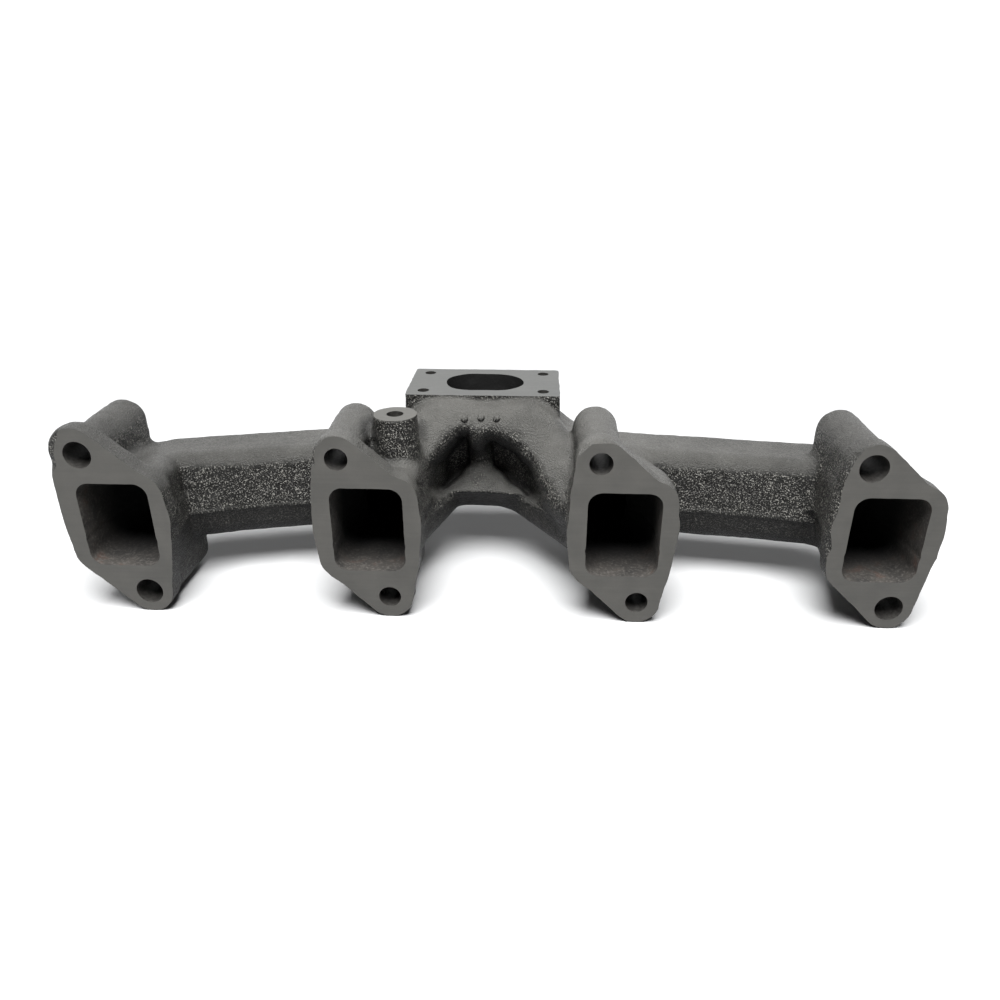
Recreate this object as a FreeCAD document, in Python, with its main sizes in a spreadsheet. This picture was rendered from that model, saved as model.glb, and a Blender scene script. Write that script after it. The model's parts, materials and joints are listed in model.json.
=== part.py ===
"""Cast exhaust manifold for a four-cylinder engine, millimetres.

Row axes: X along the row of ports, Y away from the cylinder head, Z up.  Every piece is
drawn about the middle of the port row, on the head face, and then set down so that the
origin lies at the middle of the casting's footprint, on the surface it stands on.
"""
import FreeCAD, Part
import math
import os
import Sketcher

V = FreeCAD.Vector
doc = FreeCAD.newDocument("manifold")

# ---------------------------------------------------------------- driving dimensions
DIMENSIONS = [
    ("port_pitch", 100.0), ("port_wide", 28.6), ("port_tall", 36.2), ("port_round", 5.5),
    ("flange_thick", 9.0), ("lobe_radius", 9.5), ("bend_radius", 20.0), ("shoulder_radius", 6.4),
    ("upper_hole_dx", -10.1), ("upper_hole_dz", 30.0), ("lower_hole_dx", 7.1), ("lower_hole_dz", -30.1),
    ("left_bend_dx", -2.0), ("left_bend_dz", 1.0), ("right_bend_dx", 1.5), ("right_bend_dz", 3.0),
    ("left_shoulder_dx", -14.2), ("left_shoulder_dz", -13.7),
    ("right_shoulder_dx", 13.8), ("right_shoulder_dz", 13.0),
    ("inner_hole", 9.0), ("outer_hole", 11.0), ("boss_reach", 42.6), ("boss_web", 18.4),
    ("wall", 5.0), ("bore_round", 4.0), ("duct_round", 7.0),
    ("neck_wide", 39.0), ("neck_tall", 45.0), ("neck_round", 11.0), ("neck_end", 27.0),
    ("duct_tall", 40.4), ("duct_mid_z", -1.8),
    ("elbow_wide", 33.0), ("elbow_turn_x", 144.0), ("elbow_turn_y", 41.5), ("elbow_end", 118.0),
    ("runner_deep", 31.0), ("left_slope", 13.2), ("left_offset", 73.95),
    ("right_slope", 7.9), ("right_offset", 64.68),
    ("collector_left", -62.0), ("collector_right", 46.0),
    ("collector_deep", 38.0), ("collector_tall", 32.4), ("collector_mid_z", 2.2),
    ("leg_shift", 16.0), ("leg_far_y", 58.0), ("leg_wide", 50.0), ("leg_tall", 37.0), ("leg_mid_z", 3.5),
    ("throat_x", -7.8), ("throat_y", 69.4), ("turbo_wide", 66.6), ("turbo_deep", 39.8),
    ("turbo_top", 40.0), ("turbo_thick", 11.0), ("turbo_round", 2.0),
    ("turbo_port_wide", 34.8), ("turbo_port_deep", 25.0), ("turbo_port_round", 12.4),
    ("turbo_hole", 5.0), ("turbo_hole_wide", 52.0), ("turbo_hole_deep", 26.6),
    ("throat_foot", 12.0), ("throat_foot_wide", 86.0), ("throat_foot_deep", 38.0),
    ("throat_head_wide", 60.0), ("throat_head_deep", 35.0), ("throat_round", 8.0),
    ("brow_foot_wide", 84.0), ("brow_foot_deep", 20.0), ("brow_head_wide", 56.0),
    ("brow_head_deep", 3.0), ("brow_top", 36.0), ("brow_round", 1.4),
    ("sensor_x", -41.0), ("sensor_y", 24.5), ("sensor_radius", 9.0), ("sensor_flare", 10.0),
    ("sensor_foot", 8.0), ("sensor_top", 40.0), ("sensor_drill", 6.8), ("sensor_depth", 20.0),
    ("pip_radius", 1.6), ("pip_pitch", 7.0), ("pip_y", 43.4), ("pip_z", 31.0),
]

sheet = doc.addObject("Spreadsheet::Sheet", "Dims")
for line, (alias, value) in enumerate(DIMENSIONS, start=1):
    sheet.set(f"A{line}", alias)
    sheet.set(f"B{line}", str(value))
    sheet.setAlias(f"B{line}", alias)
doc.recompute()


def dim(alias):
    """The value of one driving dimension."""
    return float(sheet.get(alias))


# The row's middle moves to the origin in X and Y, and the lowest lobes down to Z = 0.
ROW_X = "-(Dims.left_bend_dx + Dims.right_bend_dx) / 2"
ROW_Y = "-(Dims.throat_y + Dims.turbo_deep / 2) / 2"
ROW_Z = "Dims.lobe_radius - Dims.lower_hole_dz"
NODES = []


def seat(thing, x="0", y="0", z="0"):
    """Tie an object's place to formulas."""
    for axis, formula in zip("xyz", (x, y, z)):
        thing.setExpression(f"Placement.Base.{axis}", formula)
    return thing


def node(thing, label, port_x="0"):
    """Name a finished piece and set it in the part's own frame."""
    thing.Label = label
    NODES.append(seat(thing, f"{ROW_X} + {port_x}", ROW_Y, ROW_Z))
    return thing


# ---------------------------------------------------------------- sketches
def fix(sketch, name, kind, references, value, formula):
    """Add one dimension to a sketch and tie it to the sheet."""
    index = sketch.addConstraint(Sketcher.Constraint(kind, *references, value))
    sketch.renameConstraint(index, name)
    sketch.setExpression(f"Constraints.{name}", formula)


def chain(sketch, lines, arcs):
    """Join each line to the arc after it, and that arc to the next line, smoothly."""
    for turn, arc in enumerate(arcs):
        sketch.addConstraint(Sketcher.Constraint("Tangent", lines[turn], 2, arc, 1))
        sketch.addConstraint(Sketcher.Constraint("Tangent", arc, 2, lines[(turn + 1) % len(lines)], 1))


def draw_rounded(sketch, wide, tall, corner):
    """A rectangle about the sketch's origin with equal round corners; sizes are aliases or formulas."""
    half, radius = 20.0, 3.0
    inset = half - radius
    lines = []
    arcs = []
    for quarter in range(4):
        turn = math.radians(90 * quarter)
        along = V(math.cos(turn), math.sin(turn), 0)
        out = V(math.sin(turn), -math.cos(turn), 0)
        edge = Part.LineSegment(out * half - along * inset, out * half + along * inset)
        lines.append(sketch.addGeometry(edge, False))
        circle = Part.Circle((out + along) * inset, V(0, 0, 1), radius)
        arcs.append(sketch.addGeometry(Part.ArcOfCircle(circle, turn - math.pi / 2, turn), False))
    chain(sketch, lines, arcs)
    for level in (lines[0], lines[2]):
        sketch.addConstraint(Sketcher.Constraint("Horizontal", level))
    for upright in (lines[1], lines[3]):
        sketch.addConstraint(Sketcher.Constraint("Vertical", upright))
    for arc in arcs[1:]:
        sketch.addConstraint(Sketcher.Constraint("Equal", arcs[0], arc))
    sketch.addConstraint(Sketcher.Constraint("Symmetric", arcs[0], 3, arcs[2], 3, -1, 1))
    fix(sketch, "corner", "Radius", (arcs[0],), radius, corner)
    fix(sketch, "wide", "DistanceX", (lines[3], 1, lines[1], 1), 2 * half, wide)
    fix(sketch, "tall", "DistanceY", (lines[0], 1, lines[2], 1), 2 * half, tall)


def draw_belt(sketch, wheels):
    """A belt round circles, counter-clockwise; each is (name, prefix of its dx and dz, radius alias)."""
    centres = [V(dim(f"{prefix}_dx"), dim(f"{prefix}_dz"), 0) for _, prefix, _ in wheels]
    radii = [dim(alias) for _, _, alias in wheels]
    normals = []
    for here, there, near, far in zip(centres, centres[1:] + centres[:1], radii, radii[1:] + radii[:1]):
        span = there - here
        normals.append(math.atan2(span.y, span.x) - math.acos((near - far) / span.Length))
    lines = []
    arcs = []
    for index, (centre, radius) in enumerate(zip(centres, radii)):
        leave = normals[index]
        circle = Part.Circle(centre, V(0, 0, 1), radius)
        arcs.append(sketch.addGeometry(Part.ArcOfCircle(circle, normals[index - 1], leave), False))
        following = (index + 1) % len(centres)
        out = V(math.cos(leave), math.sin(leave), 0)
        run = Part.LineSegment(centre + out * radius, centres[following] + out * radii[following])
        lines.append(sketch.addGeometry(run, False))
    chain(sketch, lines, arcs[1:] + arcs[:1])
    for arc, centre, radius, (name, prefix, alias) in zip(arcs, centres, radii, wheels):
        fix(sketch, f"{name}_x", "DistanceX", (-1, 1, arc, 3), centre.x, f"Dims.{prefix}_dx")
        fix(sketch, f"{name}_z", "DistanceY", (-1, 1, arc, 3), centre.y, f"Dims.{prefix}_dz")
        fix(sketch, f"{name}_r", "Radius", (arc,), radius, f"Dims.{alias}")


def draw_hole(sketch, name, centre, formulas, diameter):
    """One circle, its place and diameter tied to the sheet."""
    hole = sketch.addGeometry(Part.Circle(centre, V(0, 0, 1), 4.0), False)
    fix(sketch, f"{name}_x", "DistanceX", (-1, 1, hole, 3), centre.x, formulas[0])
    fix(sketch, f"{name}_z", "DistanceY", (-1, 1, hole, 3), centre.y, formulas[1])
    fix(sketch, f"{name}_d", "Diameter", (hole,), 8.0, diameter)


def plane_sketch(body, role, name, height="0"):
    """A sketch on one of the body's own planes, raised along the plane's normal."""
    sketch = body.newObject("Sketcher::SketchObject", name)
    plane = next(item for item in body.Origin.OriginFeatures if item.Role == role)
    sketch.AttachmentSupport = [(plane, "")]
    sketch.MapMode = "FlatFace"
    sketch.setExpression(".AttachmentOffset.Base.z", height)
    return sketch


def pad(body, sketch, name, length, backwards=False):
    """A sketch drawn out along its plane's normal, by a formula."""
    feature = body.newObject("PartDesign::Pad", name)
    feature.Profile = sketch
    feature.Reversed = backwards
    feature.setExpression("Length", length)
    sketch.Visibility = False
    return feature


def pocket(body, sketch, name, length, backwards=False):
    """A cut into the body; it has to take material away."""
    doc.recompute()
    before = body.Shape.Volume
    feature = body.newObject("PartDesign::Pocket", name)
    feature.Profile = sketch
    feature.Reversed = backwards
    feature.setExpression("Length", length)
    doc.recompute()
    if body.Shape.Volume > before - 1.0:
        raise RuntimeError(f"{name} cuts nothing")
    return feature


# ---------------------------------------------------------------- lofted ducts
UPRIGHT = FreeCAD.Rotation(V(1, 0, 0), 90)
FLAT = FreeCAD.Rotation()


def section(name, place, size, yaw=0.0, lie=UPRIGHT):
    """A rounded section: place is x, y, z formulas, size is wide, tall, corner formulas."""
    sketch = doc.addObject("Sketcher::SketchObject", name)
    draw_rounded(sketch, *size)
    sketch.Placement = FreeCAD.Placement(V(0, 0, 0), FreeCAD.Rotation(V(0, 0, 1), yaw) * lie)
    return seat(sketch, *place)


def loft(name, sections, ruled=True):
    """A solid through sections; ruled runs straight between them."""
    feature = doc.addObject("Part::Loft", name)
    feature.Sections = sections
    feature.Solid = True
    feature.Ruled = ruled
    return feature


def join(name, *things):
    """Several solids as one."""
    feature = doc.addObject("Part::MultiFuse", name)
    feature.Shapes = list(things)
    return feature


def cut(name, base, *tools):
    """The base with every tool taken out of it, one after another."""
    for step, tool in enumerate(tools, start=1):
        last = step == len(tools)
        feature = doc.addObject("Part::Cut", name if last else f"{name}Step{step}")
        feature.Base = base
        feature.Tool = tool
        base = feature
    return base


DUCT = ("Dims.duct_tall", "Dims.duct_round")
BORE = ("Dims.duct_tall - 2 * Dims.wall", "Dims.bore_round")
LEFT_YAW = dim("left_slope") - 90
RIGHT_YAW = 90 - dim("right_slope")


def on_left_runner(x):
    """Y of the left runner's middle line, which climbs away from the head, at x."""
    return f"Dims.left_offset + ({x}) * tan(Dims.left_slope)"


def on_right_runner(x):
    """Y of the right runner's middle line, which falls back towards the head, at x."""
    return f"Dims.right_offset - ({x}) * tan(Dims.right_slope)"


def port_x(index):
    """X of a port's middle, ports counted 0 to 3 from the left."""
    return f"({index} - 1.5) * Dims.port_pitch"


# ---------------------------------------------------------------- port flanges
WHEELS = [("upper", "upper_hole", "lobe_radius"), ("left", "left_bend", "bend_radius"),
          ("left_low", "left_shoulder", "shoulder_radius"), ("lower", "lower_hole", "lobe_radius"),
          ("right", "right_bend", "bend_radius"), ("right_high", "right_shoulder", "shoulder_radius")]


def hole_size(index):
    """The outer flanges have wider holes, because the casting grows when hot."""
    return "Dims.outer_hole" if index in (0, 3) else "Dims.inner_hole"


def port_flange(index):
    """One flange on the head: a lozenge with a square port and two bolt holes."""
    body = doc.addObject("PartDesign::Body", f"Flange{index + 1}")
    outline = plane_sketch(body, "XZ_Plane", f"FlangeOutline{index + 1}")
    draw_belt(outline, WHEELS)
    pad(body, outline, f"FlangePad{index + 1}", "Dims.flange_thick", backwards=True)
    port = plane_sketch(body, "XZ_Plane", f"FlangePort{index + 1}")
    draw_rounded(port, "Dims.port_wide", "Dims.port_tall", "Dims.port_round")
    pocket(body, port, f"FlangePortCut{index + 1}", "Dims.flange_thick")
    holes = plane_sketch(body, "XZ_Plane", f"FlangeHoles{index + 1}")
    for name in ("upper_hole", "lower_hole"):
        centre = V(dim(f"{name}_dx"), dim(f"{name}_dz"), 0)
        draw_hole(holes, name, centre, (f"Dims.{name}_dx", f"Dims.{name}_dz"), hole_size(index))
    pocket(body, holes, f"FlangeHolesCut{index + 1}", "Dims.flange_thick")
    node(body, f"port_flange_{index + 1}", port_x(index))


# ---------------------------------------------------------------- ducts behind the flanges
def neck(index):
    """The short duct behind a flange: outside and bore, both lofted."""
    x = port_x(index)
    tag = index + 1
    outer = loft(f"NeckOuter{tag}", [
        section(f"NeckOuterFront{tag}", (x, "Dims.flange_thick", "0"),
                ("Dims.neck_wide", "Dims.neck_tall", "Dims.neck_round")),
        section(f"NeckOuterBack{tag}", (x, "Dims.neck_end", "Dims.duct_mid_z"), ("Dims.neck_wide", *DUCT))])
    bore = loft(f"NeckBore{tag}", [
        section(f"NeckBoreFront{tag}", (x, "Dims.flange_thick", "0"),
                ("Dims.port_wide", "Dims.port_tall", "Dims.port_round")),
        section(f"NeckBoreBack{tag}", (x, "Dims.neck_end", "Dims.duct_mid_z"), ("Dims.port_wide", *BORE))])
    node(cut(f"Neck{tag}", outer, bore), f"port_neck_{tag}")
    return outer


def elbow(index):
    """The turn from an outer port into its runner."""
    tag = index + 1
    side, yaw, line = (-1, LEFT_YAW, on_left_runner) if index == 0 else (1, RIGHT_YAW, on_right_runner)
    x = port_x(index)
    turn_x = f"{side} * Dims.elbow_turn_x"
    end_x = f"{side} * Dims.elbow_end"
    shells = []
    for kind, near, middle, far, rest in (
            ("Outer", "Dims.neck_wide", "Dims.elbow_wide", "Dims.runner_deep", DUCT),
            ("Bore", "Dims.port_wide", "Dims.elbow_wide - 2 * Dims.wall",
             "Dims.runner_deep - 2 * Dims.wall", BORE)):
        shells.append(loft(f"Elbow{kind}{tag}", [
            section(f"Elbow{kind}Near{tag}", (x, "Dims.neck_end", "Dims.duct_mid_z"), (near, *rest)),
            section(f"Elbow{kind}Turn{tag}", (turn_x, "Dims.elbow_turn_y", "Dims.duct_mid_z"),
                    (middle, *rest), yaw * 0.52),
            section(f"Elbow{kind}Far{tag}", (end_x, line(end_x), "Dims.duct_mid_z"), (far, *rest), yaw)],
            ruled=False))
    node(cut(f"Elbow{tag}", *shells), f"elbow_{tag}")
    return shells[0]


def runner(label, side, yaw, line, near_x):
    """The straight duct from an elbow to the collector."""
    shells = []
    for kind, deep, rest in (("Outer", "Dims.runner_deep", DUCT),
                             ("Bore", "Dims.runner_deep - 2 * Dims.wall", BORE)):
        ends = [f"{side} * Dims.elbow_end", near_x]
        shells.append(loft(f"{label}{kind}", [
            section(f"{label}{kind}{spot}", (x, line(x), "Dims.duct_mid_z"), (deep, *rest), yaw)
            for spot, x in zip(("Far", "Near"), ends)]))
    node(cut(label, *shells), label)
    return shells[0]


# ---------------------------------------------------------------- collector
def collector():
    """The middle of the log, deeper than the runners and arched underneath."""
    left, right = "Dims.collector_left", "Dims.collector_right"
    shells = []
    for kind, less, rest in (("Outer", "", DUCT), ("Bore", " - 2 * Dims.wall", BORE)):
        shells.append(loft(f"Collector{kind}", [
            section(f"Collector{kind}Left", (left, on_left_runner(left), "Dims.duct_mid_z"),
                    ("Dims.runner_deep" + less, *rest), LEFT_YAW),
            section(f"Collector{kind}Middle", ("Dims.throat_x", "Dims.throat_y", "Dims.collector_mid_z"),
                    ("Dims.collector_deep" + less, "Dims.collector_tall" + less, rest[1]), -90.0),
            section(f"Collector{kind}Right", (right, on_right_runner(right), "Dims.duct_mid_z"),
                    ("Dims.runner_deep" + less, *rest), RIGHT_YAW - 180)], ruled=False))
    return shells


def leg(index):
    """The duct of an inner port, which bends towards the middle of the collector."""
    tag = index + 1
    side = 1 if index == 1 else -1
    near_x = port_x(index)
    far_x = f"{near_x} + {side} * Dims.leg_shift"
    shells = []
    for kind, near, less, rest in (("Outer", "Dims.neck_wide", "", DUCT),
                                   ("Bore", "Dims.port_wide", " - 2 * Dims.wall", BORE)):
        shells.append(loft(f"Leg{kind}{tag}", [
            section(f"Leg{kind}Near{tag}", (near_x, "Dims.neck_end", "Dims.duct_mid_z"), (near, *rest)),
            section(f"Leg{kind}Far{tag}", (far_x, "Dims.leg_far_y", "Dims.leg_mid_z"),
                    ("Dims.leg_wide" + less, "Dims.leg_tall" + less, rest[1]))]))
    return shells


def throat():
    """The hopper that narrows from the collector up to the turbocharger flange."""
    shells = []
    for kind, less, foot_wide, head_wide, head_deep, corner in (
            ("Outer", "", "Dims.throat_foot_wide", "Dims.throat_head_wide", "Dims.throat_head_deep",
             "Dims.throat_round"),
            ("Bore", " - 2 * Dims.wall", "Dims.throat_head_wide", "Dims.turbo_port_wide",
             "Dims.turbo_port_deep", "Dims.turbo_port_round")):
        shells.append(loft(f"Throat{kind}", [
            section(f"Throat{kind}Foot", ("Dims.throat_x", "Dims.throat_y", "Dims.throat_foot"),
                    (foot_wide, "Dims.throat_foot_deep" + less, corner), lie=FLAT),
            section(f"Throat{kind}Head", ("Dims.throat_x", "Dims.throat_y", "Dims.turbo_top - Dims.turbo_thick"),
                    (head_wide, head_deep, corner), lie=FLAT)]))
    return shells


def brow():
    """The rounded shoulder that rises in front of the turbocharger flange."""
    face = "Dims.throat_y - Dims.turbo_deep / 2"
    return loft("BrowOuter", [
        section("BrowFoot", ("Dims.throat_x", f"{face} - Dims.brow_foot_deep / 2", "Dims.throat_foot"),
                ("Dims.brow_foot_wide", "Dims.brow_foot_deep", "Dims.throat_round"), lie=FLAT),
        section("BrowHead", ("Dims.throat_x", f"{face} - Dims.brow_head_deep / 2", "Dims.brow_top"),
                ("Dims.brow_head_wide", "Dims.brow_head_deep", "Dims.brow_round"), lie=FLAT)])


def turbo_flange():
    """The rectangular flange on top, with an oval port and four tapped holes."""
    body = doc.addObject("PartDesign::Body", "TurboFlange")
    outline = plane_sketch(body, "XY_Plane", "TurboOutline", "Dims.turbo_top - Dims.turbo_thick")
    draw_rounded(outline, "Dims.turbo_wide", "Dims.turbo_deep", "Dims.turbo_round")
    pad(body, outline, "TurboPad", "Dims.turbo_thick")
    port = plane_sketch(body, "XY_Plane", "TurboPort", "Dims.turbo_top")
    draw_rounded(port, "Dims.turbo_port_wide", "Dims.turbo_port_deep", "Dims.turbo_port_round")
    pocket(body, port, "TurboPortCut", "Dims.turbo_thick")
    holes = plane_sketch(body, "XY_Plane", "TurboHoles", "Dims.turbo_top")
    for right in (-1, 1):
        for back in (-1, 1):
            centre = V(right * dim("turbo_hole_wide") / 2, back * dim("turbo_hole_deep") / 2, 0)
            places = (f"{right} * Dims.turbo_hole_wide / 2", f"{back} * Dims.turbo_hole_deep / 2")
            draw_hole(holes, f"hole_{right + 1}_{back + 1}", centre, places, "Dims.turbo_hole")
    pocket(body, holes, "TurboHolesCut", "Dims.turbo_thick")
    node(body, "turbo_flange", "Dims.throat_x")
    body.setExpression("Placement.Base.y", f"{ROW_Y} + Dims.throat_y")


# ---------------------------------------------------------------- bosses
def bolt_boss(index, which, sign, ducts):
    """A tall round boss behind a flange, its web running into the duct; sign is up or down."""
    tag = f"{which}{index + 1}"
    x = f"{port_x(index)} + Dims.{which}_hole_dx"
    z = f"Dims.{which}_hole_dz"
    reach = "Dims.boss_reach - Dims.flange_thick"
    round_part = doc.addObject("Part::Cylinder", f"BossRound{tag}")
    web = doc.addObject("Part::Box", f"BossWeb{tag}")
    drill = doc.addObject("Part::Cylinder", f"BossDrill{tag}")
    for cylinder, radius in ((round_part, "Dims.boss_web / 2"), (drill, f"{hole_size(index)} / 2")):
        cylinder.Placement.Rotation = FreeCAD.Rotation(V(1, 0, 0), -90)
        cylinder.setExpression("Radius", radius)
        cylinder.setExpression("Height", reach)
        seat(cylinder, x, "Dims.flange_thick", z)
    web.setExpression("Length", "Dims.boss_web")
    web.setExpression("Width", reach)
    web.setExpression("Height", "Dims.boss_web")
    low = f"{z} - Dims.boss_web" if sign > 0 else z
    seat(web, f"{x} - Dims.boss_web / 2", "Dims.flange_thick", low)
    node(cut(f"Boss{tag}", join(f"BossSolid{tag}", round_part, web), drill, *ducts),
         f"{which}_bolt_boss_{index + 1}")


def sensor_boss(ducts):
    """The upright boss on the second port's duct, drilled and tapped from above."""
    stem = doc.addObject("Part::Cone", "SensorStem")
    stem.setExpression("Radius1", "Dims.sensor_flare")
    stem.setExpression("Radius2", "Dims.sensor_radius")
    stem.setExpression("Height", "Dims.sensor_top - Dims.sensor_foot")
    seat(stem, "Dims.sensor_x", "Dims.sensor_y", "Dims.sensor_foot")
    drill = doc.addObject("Part::Cylinder", "SensorDrill")
    drill.setExpression("Radius", "Dims.sensor_drill / 2")
    drill.setExpression("Height", "Dims.sensor_depth")
    seat(drill, "Dims.sensor_x", "Dims.sensor_y", "Dims.sensor_top - Dims.sensor_depth")
    node(cut("Sensor", stem, drill, *ducts), "sensor_boss")


def casting_pips(shoulder):
    """Three raised dots on the shoulder, where a foundry puts its mark."""
    dots = []
    for place in (-1, 0, 1):
        dot = doc.addObject("Part::Sphere", f"Pip{place + 1}")
        dot.setExpression("Radius", "Dims.pip_radius")
        seat(dot, f"Dims.throat_x + {place} * Dims.pip_pitch", "Dims.pip_y", "Dims.pip_z")
        dots.append(dot)
    node(cut("Pips", join("PipDots", *dots), shoulder), "casting_pips")


# ---------------------------------------------------------------- the casting
for number in range(4):
    port_flange(number)
necks = [neck(number) for number in range(4)]
elbows = {number: elbow(number) for number in (0, 3)}
left_outer = runner("runner_left", -1, LEFT_YAW, on_left_runner, "Dims.collector_left")
right_outer = runner("runner_right", 1, RIGHT_YAW, on_right_runner, "Dims.collector_right")
collector_outer, collector_bore = collector()
legs = {number: leg(number) for number in (1, 2)}
leg_bores = [legs[1][1], legs[2][1]]
throat_outer, throat_bore = throat()
brow_outer = brow()

node(cut("Collector", collector_outer, collector_bore, throat_bore, *leg_bores), "collector")
for number, neighbour in ((1, left_outer), (2, right_outer)):
    node(cut(f"Leg{number + 1}", legs[number][0], legs[number][1], collector_outer, neighbour),
         f"inner_leg_{number + 1}")
leg_outers = [legs[1][0], legs[2][0]]
node(cut("Throat", throat_outer, throat_bore, collector_outer, *leg_outers), "turbo_neck")
node(cut("Brow", brow_outer, throat_outer, collector_outer, *leg_outers), "front_shoulder")
turbo_flange()

duct_behind = {0: elbows[0], 1: legs[1][0], 2: legs[2][0], 3: elbows[3]}
for number in range(4):
    behind = (necks[number], duct_behind[number])
    bolt_boss(number, "upper", 1, behind)
    bolt_boss(number, "lower", -1, behind)
sensor_boss((necks[1], legs[1][0], brow_outer))
casting_pips(brow_outer)
doc.recompute()

# ---------------------------------------------------------------- check and write
for thing in doc.Objects:
    if "Invalid" in thing.State or "Error" in thing.State:
        raise RuntimeError(f"{thing.Name} failed: {thing.State}")
os.makedirs("parts", exist_ok=True)
total = Part.makeCompound([thing.Shape for thing in NODES]).optimalBoundingBox()
for thing in NODES:
    shape = thing.Shape
    if shape.isNull() or not shape.isValid() or not shape.Solids:
        raise RuntimeError(f"{thing.Label} is not a sound solid")
    shape.exportStep(f"parts/{thing.Label}.step")
    print(f"{thing.Label:22s} {len(shape.Solids)} solid(s) {shape.Volume:10.1f} mm3")
print("box", [round(v, 3) for v in (total.XMin, total.YMin, total.ZMin, total.XMax, total.YMax, total.ZMax)])
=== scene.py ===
"""Looks of a cast-iron exhaust manifold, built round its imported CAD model.

The casting is drawn as a smooth distance field, as a foundry pattern is: ducts, bosses and
flanges run into each other with fillets, and the gas passages are taken out as cores.  The
field becomes one mesh, which is then machined with planes and drills and sawn into the
pieces that stand for the CAD nodes.  Modelling lengths are millimetres on the row axes:
X along the ports, Y away from the cylinder head face, Z up from the ports' middle.
"""
import json
import math

import bpy
import numpy as np
import openvdb
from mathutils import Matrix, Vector


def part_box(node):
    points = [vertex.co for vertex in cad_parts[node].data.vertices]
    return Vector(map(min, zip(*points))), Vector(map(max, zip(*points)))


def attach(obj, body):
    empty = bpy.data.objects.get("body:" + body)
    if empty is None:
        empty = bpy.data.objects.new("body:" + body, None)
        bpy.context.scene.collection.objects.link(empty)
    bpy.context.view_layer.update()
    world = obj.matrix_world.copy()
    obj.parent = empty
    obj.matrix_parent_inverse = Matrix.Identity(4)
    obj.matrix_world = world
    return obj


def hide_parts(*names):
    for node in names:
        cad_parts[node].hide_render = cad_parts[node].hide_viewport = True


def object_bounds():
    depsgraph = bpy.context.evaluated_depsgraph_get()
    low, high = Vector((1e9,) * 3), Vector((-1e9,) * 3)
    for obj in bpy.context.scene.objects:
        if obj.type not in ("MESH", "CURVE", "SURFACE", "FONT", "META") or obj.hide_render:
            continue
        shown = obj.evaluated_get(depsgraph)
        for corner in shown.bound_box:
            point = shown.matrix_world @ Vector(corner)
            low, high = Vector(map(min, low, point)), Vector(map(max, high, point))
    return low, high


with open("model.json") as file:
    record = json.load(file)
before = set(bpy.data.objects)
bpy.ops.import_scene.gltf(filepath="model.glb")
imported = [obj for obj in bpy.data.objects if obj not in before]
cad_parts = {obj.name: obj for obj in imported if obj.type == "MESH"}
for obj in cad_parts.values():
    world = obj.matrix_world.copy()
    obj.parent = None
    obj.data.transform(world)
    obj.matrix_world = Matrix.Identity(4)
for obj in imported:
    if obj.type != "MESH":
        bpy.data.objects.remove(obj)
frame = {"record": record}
cad_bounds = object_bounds()

# ---------------------------------------------------------------- sizes from the frame
MM = 0.001
PORT_NUMBERS = range(1, 5)
RECORD = frame["record"]
OPENINGS = {item["name"]: np.array(item["box_m"]) / MM for item in RECORD["physics"]["openings"]}
MOUNTS = {item["name"]: item for item in RECORD["mounts"]}


def cad_box(node):
    """A CAD node's lowest and highest corners in millimetres."""
    low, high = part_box(node)
    return np.array(low) / MM, np.array(high) / MM


# The row's origin in the part: the middle of the ports, on the head face.
TURBO_TOP = 40.0
port_places = [OPENINGS[f"port_{number}_passage"].mean(axis=0)[0] for number in PORT_NUMBERS]
ROW = np.array([np.mean(port_places), cad_box("port_flange_1")[0][1],
                cad_box("turbo_flange")[1][2] - TURBO_TOP])
PORTS = [place - ROW[0] for place in port_places]
FLANGE_THICK = cad_box("port_flange_1")[1][1] - ROW[1]
BOSS_END = cad_box("upper_bolt_boss_1")[1][1] - ROW[1]
TURBO_LOW, TURBO_HIGH = (corner - ROW for corner in cad_box("turbo_flange"))
THROAT = (TURBO_LOW + TURBO_HIGH) / 2
SENSOR = np.array(MOUNTS["sensor_thread"]["pos_m"]) / MM - ROW
SENSOR_DRILL = MOUNTS["sensor_thread"]["dims"]
BOLT_RADIUS = [MOUNTS[f"port_{number}_bolts"]["dims"]["hole_r_mm"] for number in PORT_NUMBERS]
TURBO_BOLTS = MOUNTS["turbo_bolts"]["dims"]

# ---------------------------------------------------------------- the casting's own sizes
UPPER_HOLE = (-10.1, 30.0)
LOWER_HOLE = (7.1, -30.1)
# The flange outline is a belt round these wheels: x, z from the port's middle, and radius.
BELT = [(*UPPER_HOLE, 9.5), (-2.0, 1.0, 20.0), (-14.2, -13.7, 6.4),
        (*LOWER_HOLE, 9.5), (1.5, 3.0, 20.0), (13.8, 13.0, 6.4)]
# The first flange has a fuller upper lobe.
FIRST_LOBE = (-11.4, 30.3, 10.8)

# Passages, and the ducts round them.
WALL = 5.0
THIN_WALL = 2.5
PORT_HALF = (14.3, 18.1)
PORT_ROUND = 5.5
NECK_HALF = (19.5, PORT_HALF[1] + WALL - 0.6)
NECK_END = 27.0
RUNNER_HALF = 15.5
DUCT_TOP = 18.4
DUCT_BOTTOM = -22.0
DUCT_ROUND = 7.0
# The pattern's parting line, with a low ridge, and how far the sides slope above and below it.
PARTING = -7.0
PARTING_RIDGE = 0.35
RIDGE_WIDTH = 0.9
DRAFT = 0.02
TUCK = 0.2
# Where ports turn into the log: along Y behind the head face, and along X towards the ends.
LOG_NECK = (6.0, 44.0)
LOG_ENDS = (112.0, 128.0)
# The arch between the inner ports, where the log bulges, leans back and lifts off the floor.
ARCH_LEFT = (-58.0, -26.0)
ARCH_RIGHT = (8.0, 40.0)
ARCH_LIFT = 2.5
ARCH_BULGE = 4.0
ARCH_LEAN = 0.5
ARCH_TUCK = 0.75
ARCH_PARTING = 3.5
CORE_SET_BACK = -2.0
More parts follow.
